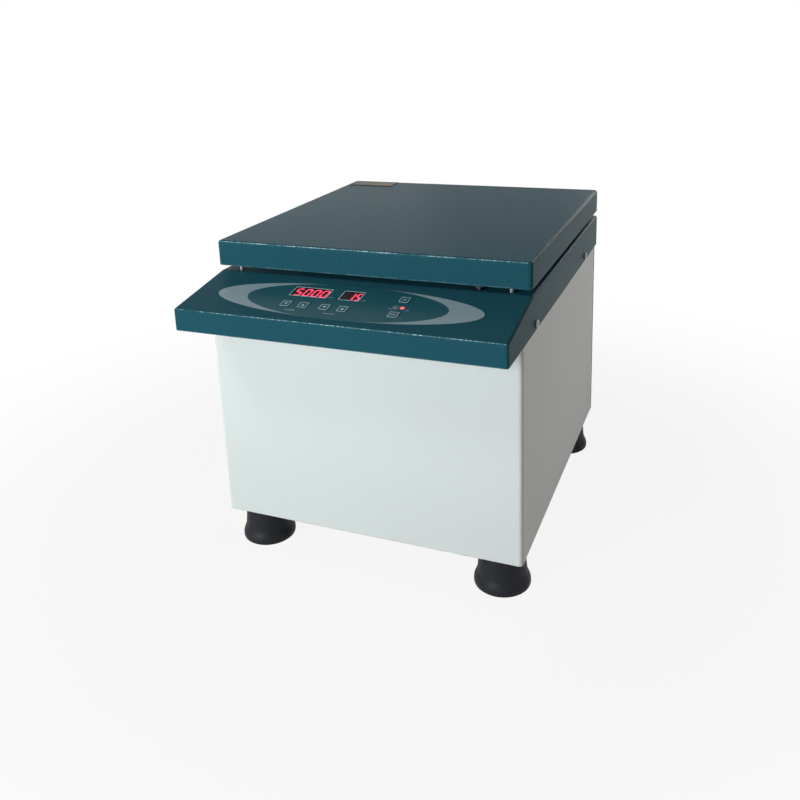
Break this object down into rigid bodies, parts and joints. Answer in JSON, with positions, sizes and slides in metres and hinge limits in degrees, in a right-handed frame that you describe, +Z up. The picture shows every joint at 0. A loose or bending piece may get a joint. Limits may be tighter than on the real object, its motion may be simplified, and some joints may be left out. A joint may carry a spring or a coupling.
{
  "type": "laboratory centrifuge",
  "caption": "Bench-top digital centrifuge: painted cabinet on tall rubber feet, overhanging sloped key panel with red digit displays, and a flat hinged lid over an angle rotor chamber.",
  "frame": {"origin": "centre of the footprint, on the bench under the feet", "axes": "+X to the right, +Y to the rear away from the control panel, +Z up"},
  "size_m": [0.3348, 0.4306, 0.3365],
  "materials": {
    "cabinet_shell": "pale grey semi-gloss paint",
    "base_plate": "zinc-plated steel",
    "front_left_foot": "moulded black rubber",
    "front_right_foot": "moulded black rubber",
    "rear_left_foot": "moulded black rubber",
    "rear_right_foot": "moulded black rubber",
    "foot_bolts": "zinc-plated steel",
    "rear_panel": "pale grey semi-gloss paint",
    "rear_panel_screws": "bright plated",
    "top_cowl": "teal fine-textured powder coat",
    "cowl_screws": "bright plated",
    "control_overlay": "printed film",
    "display_filter": "red filter",
    "display_board": "circuit board",
    "speed_display": "digit module, lit",
    "time_display": "digit module, lit",
    "key_switches": "black moulding",
    "status_leds": "lamp",
    "board_standoffs": "zinc-plated steel",
    "power_board": "circuit board",
    "transformer": "laminated steel",
    "chamber_bowl": "zinc-plated steel",
    "chamber_gasket": "moulded black rubber",
    "bowl_screws": "bright plated",
    "motor_plate": "zinc-plated steel",
    "shock_mounts": "moulded black rubber",
    "motor_case": "black paint",
    "motor_top_cap": "machined aluminium",
    "motor_bolts": "zinc-plated steel",
    "motor_stator": "laminated steel",
    "spindle_bearings": "zinc-plated steel",
    "spindle_seal": "moulded black rubber",
    "catch_sockets": "zinc-plated steel",
    "lid_switch": "black moulding",
    "cowl_hinge_leaves": "zinc-plated steel",
    "hinge_pins": "zinc-plated steel",
    "inlet_socket": "black moulding",
    "fuse_holder": "black moulding",
    "switch_frame": "black moulding",
    "motor_lead": "insulated lead",
    "display_lead": "insulated lead",
    "spindle": "zinc-plated steel",
    "motor_armature": "laminated steel",
    "rotor_head": "machined aluminium",
    "tube_cups": "white moulding",
    "rotor_nut": "machined aluminium",
    "lid_pan": "teal fine-textured powder coat",
    "lid_liner": "zinc-plated steel",
    "lid_plate": "printed plate",
    "lid_catch_pins": "bright plated",
    "lid_hinge_leaves": "zinc-plated steel",
    "lid_hinge_screws": "bright plated",
    "power_rocker": "black moulding",
    "lid_switch_plunger": "black moulding",
    "speed_down_key": "key with printed outline",
    "speed_up_key": "key with printed outline",
    "time_down_key": "key with printed outline",
    "time_up_key": "key with printed outline",
    "start_key": "key with printed outline",
    "stop_key": "key with printed outline"
  },
  "bodies": {
    "cabinet": {"cabinet_shell": "cabinet_shell", "base_plate": "base_plate", "front_left_foot": "front_left_foot", "front_right_foot": "front_right_foot", "rear_left_foot": "rear_left_foot", "rear_right_foot": "rear_right_foot", "foot_bolts": "foot_bolts", "rear_panel": "rear_panel", "rear_panel_screws": "rear_panel_screws", "top_cowl": "top_cowl", "cowl_screws": "cowl_screws", "control_overlay": "control_overlay", "display_filter": "display_filter", "display_board": "display_board", "speed_display": "speed_display", "time_display": "time_display", "key_switches": "key_switches", "status_leds": "status_leds", "board_standoffs": "board_standoffs", "power_board": "power_board", "transformer": "transformer", "chamber_bowl": "chamber_bowl", "chamber_gasket": "chamber_gasket", "bowl_screws": "bowl_screws", "motor_plate": "motor_plate", "shock_mounts": "shock_mounts", "motor_case": "motor_case", "motor_top_cap": "motor_top_cap", "motor_bolts": "motor_bolts", "motor_stator": "motor_stator", "spindle_bearings": "spindle_bearings", "spindle_seal": "spindle_seal", "catch_sockets": "catch_sockets", "lid_switch": "lid_switch", "cowl_hinge_leaves": "cowl_hinge_leaves", "hinge_pins": "hinge_pins", "inlet_socket": "inlet_socket", "fuse_holder": "fuse_holder", "switch_frame": "switch_frame", "motor_lead": "motor_lead", "display_lead": "display_lead"},
    "rotor": {"spindle": "spindle", "motor_armature": "motor_armature", "rotor_head": "rotor_head", "tube_cups": "tube_cups", "rotor_nut": "rotor_nut"},
    "lid": {"lid_pan": "lid_pan", "lid_liner": "lid_liner", "lid_plate": "lid_plate", "lid_catch_pins": "lid_catch_pins", "lid_hinge_leaves": "lid_hinge_leaves", "lid_hinge_screws": "lid_hinge_screws"},
    "power_rocker": {"power_rocker": "power_rocker"},
    "lid_switch_plunger": {"lid_switch_plunger": "lid_switch_plunger"},
    "speed_down_key": {"speed_down_key": "speed_down_key"},
    "speed_up_key": {"speed_up_key": "speed_up_key"},
    "time_down_key": {"time_down_key": "time_down_key"},
    "time_up_key": {"time_up_key": "time_up_key"},
    "start_key": {"start_key": "start_key"},
    "stop_key": {"stop_key": "stop_key"}
  },
  "joints": [
    {"name": "lid_hinge", "type": "hinge", "parent": "cabinet", "child": "lid", "pos_m": [0, 0.21125, 0.3068], "axis": [-1, 0, 0], "range_deg": [0, 98]},
    {"name": "rotor_spin", "type": "hinge", "parent": "cabinet", "child": "rotor", "pos_m": [0, 0.03895, 0.23945], "axis": [0, 0, 1], "continuous": true},
    {"name": "power_rocker_tilt", "type": "hinge", "parent": "cabinet", "child": "power_rocker", "pos_m": [0.045, 0.20475, 0.085], "axis": [-1, 0, 0], "range_deg": [0, 16]},
    {"name": "lid_switch_press", "type": "slide", "parent": "cabinet", "child": "lid_switch_plunger", "axis": [0, 0, -1], "range_m": [0, 0.0015], "stiffness_N_per_m": 200, "springref_m": -0.001},
    {"name": "speed_down_key_press", "type": "slide", "parent": "cabinet", "child": "speed_down_key", "axis": [0, 0.1666, -0.986], "range_m": [0, 0.0005], "stiffness_N_per_m": 300, "springref_m": -0.0005},
    {"name": "speed_up_key_press", "type": "slide", "parent": "cabinet", "child": "speed_up_key", "axis": [0, 0.1666, -0.986], "range_m": [0, 0.0005], "stiffness_N_per_m": 300, "springref_m": -0.0005},
    {"name": "time_down_key_press", "type": "slide", "parent": "cabinet", "child": "time_down_key", "axis": [0, 0.1666, -0.986], "range_m": [0, 0.0005], "stiffness_N_per_m": 300, "springref_m": -0.0005},
    {"name": "time_up_key_press", "type": "slide", "parent": "cabinet", "child": "time_up_key", "axis": [0, 0.1666, -0.986], "range_m": [0, 0.0005], "stiffness_N_per_m": 300, "springref_m": -0.0005},
    {"name": "start_key_press", "type": "slide", "parent": "cabinet", "child": "start_key", "axis": [0, 0.1666, -0.986], "range_m": [0, 0.0005], "stiffness_N_per_m": 300, "springref_m": -0.0005},
    {"name": "stop_key_press", "type": "slide", "parent": "cabinet", "child": "stop_key", "axis": [0, 0.1666, -0.986], "range_m": [0, 0.0005], "stiffness_N_per_m": 300, "springref_m": -0.0005}
  ]
}
